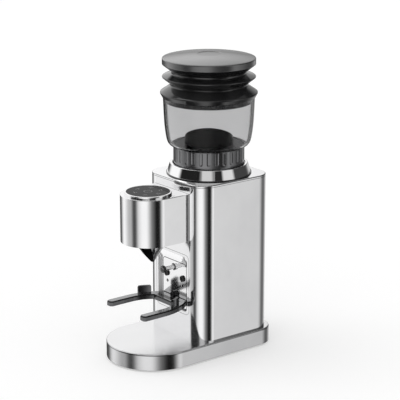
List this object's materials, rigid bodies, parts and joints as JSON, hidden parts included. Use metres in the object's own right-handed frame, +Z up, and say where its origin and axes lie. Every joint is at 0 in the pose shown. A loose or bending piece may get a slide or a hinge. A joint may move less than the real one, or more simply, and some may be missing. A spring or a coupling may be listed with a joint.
{
  "type": "burr coffee grinder",
  "caption": "Upright counter-top burr coffee grinder: steel column on a round-nosed base, smoked hopper under a bellows lid, touch head with spout, portafilter fork.",
  "frame": {"origin": "bottom centre of the bounding box, on the floor under the feet", "axes": "+Z up, -Y to the front where the portafilter goes in, +X to the right seen from behind the object facing its front"},
  "size_m": [0.1208, 0.2108, 0.3738],
  "materials": {
    "polished_steel": "polished stainless sheet",
    "chrome": "bright plated",
    "fork_grey": "satin dark grey coat",
    "black_rubber": "satin moulded rubber",
    "smoked_clear": "smoked clear, glossy",
    "black_plastic": "fine satin moulded",
    "ring_grey": "satin moulded grip",
    "black_glass": "gloss touch panel",
    "screw_black": "blackened steel",
    "zinc_steel": "zinc plated",
    "burr_steel": "ground hardened steel",
    "cast_alloy": "die cast",
    "bearing_steel": "ground",
    "gear_nylon": "natural nylon",
    "motor_black": "black lacquer",
    "copper_winding": "lacquered winding",
    "board_green": "circuit board",
    "brass": "turned"
  },
  "bodies": {
    "grinder_body": {"base_shell": "polished_steel", "base_plate": "zinc_steel", "base_plate_screws": "zinc_steel", "rubber_feet": "black_rubber", "board_standoffs": "brass", "power_board": "board_green", "column_shell": "polished_steel", "top_cap": "polished_steel", "cap_screws": "zinc_steel", "collar": "chrome", "fork_pan": "polished_steel", "pan_screws": "screw_black", "portafilter_fork": "fork_grey", "fork_screw": "screw_black", "rest_peg": "chrome", "peg_bumper": "black_rubber", "cable_gland": "black_plastic", "snout_shell": "polished_steel", "snout_floor": "polished_steel", "snout_lid": "polished_steel", "control_bezel": "chrome", "control_glass": "black_glass", "control_board": "board_green", "spout": "chrome", "chute": "black_plastic", "grind_chamber": "cast_alloy", "upper_bearing": "bearing_steel", "lower_bearing": "bearing_steel", "gearbox_tray": "cast_alloy", "gearbox_cover": "cast_alloy", "gearbox_screws": "zinc_steel", "idler_pin": "burr_steel", "motor_plate": "zinc_steel", "support_posts": "zinc_steel", "post_screws": "zinc_steel", "motor_can": "motor_black", "motor_end_cap": "motor_black", "motor_bearings": "bearing_steel"},
    "adjuster": {"adjusting_ring": "ring_grey"},
    "hopper": {"hopper_bowl": "smoked_clear", "hopper_throat": "black_plastic"},
    "bellows_lid": {"lid_plug": "black_rubber", "bellows": "black_rubber"},
    "push_top": {"push_disc": "black_rubber"},
    "burr_carriage": {"burr_carrier": "brass", "ring_burr": "burr_steel", "burr_retainer": "zinc_steel", "retainer_screws": "zinc_steel"},
    "burr_drive": {"drive_shaft": "burr_steel", "sweeper": "black_plastic", "cone_burr": "burr_steel", "burr_nut": "zinc_steel", "output_gear": "burr_steel"},
    "idler": {"idler_gear": "gear_nylon"},
    "motor_rotor": {"motor_armature": "copper_winding", "motor_pinion": "brass"}
  },
  "joints": [
    {"name": "grind_adjust", "type": "hinge", "parent": "grinder_body", "child": "adjuster", "pos_m": [0, 0.0413, 0.243], "axis": [0, 0, 1], "range_deg": [-135, 135]},
    {"name": "carriage_travel", "type": "slide", "parent": "grinder_body", "child": "burr_carriage", "axis": [0, 0, 1], "range_m": [-0.00075, 0.00075]},
    {"name": "hopper_lift", "type": "slide", "parent": "adjuster", "child": "hopper", "axis": [0, 0, 1], "range_m": [0, 0.06]},
    {"name": "lid_lift", "type": "slide", "parent": "hopper", "child": "bellows_lid", "axis": [0, 0, 1], "range_m": [0, 0.07]},
    {"name": "bellows_press", "type": "slide", "parent": "bellows_lid", "child": "push_top", "axis": [0, 0, -1], "range_m": [0, 0.015], "stiffness_N_per_m": 600, "springref_m": -0.004, "deforming": ["bellows"]},
    {"name": "burr_spin", "type": "hinge", "parent": "grinder_body", "child": "burr_drive", "pos_m": [0, 0.0413, 0.17], "axis": [0, 0, 1], "continuous": true},
    {"name": "idler_spin", "type": "hinge", "parent": "grinder_body", "child": "idler", "pos_m": [0, 0.0685, 0.14], "axis": [0, 0, 1], "continuous": true},
    {"name": "motor_spin", "type": "hinge", "parent": "grinder_body", "child": "motor_rotor", "pos_m": [0, 0.0413, 0.1], "axis": [0, 0, 1], "continuous": true}
  ],
  "couplings": [
    {"joint": "carriage_travel", "follows": "grind_adjust", "m_per_rad": 0.00031831},
    {"joint": "idler_spin", "follows": "burr_spin", "ratio": -3},
    {"joint": "motor_spin", "follows": "burr_spin", "ratio": 9}
  ]
}
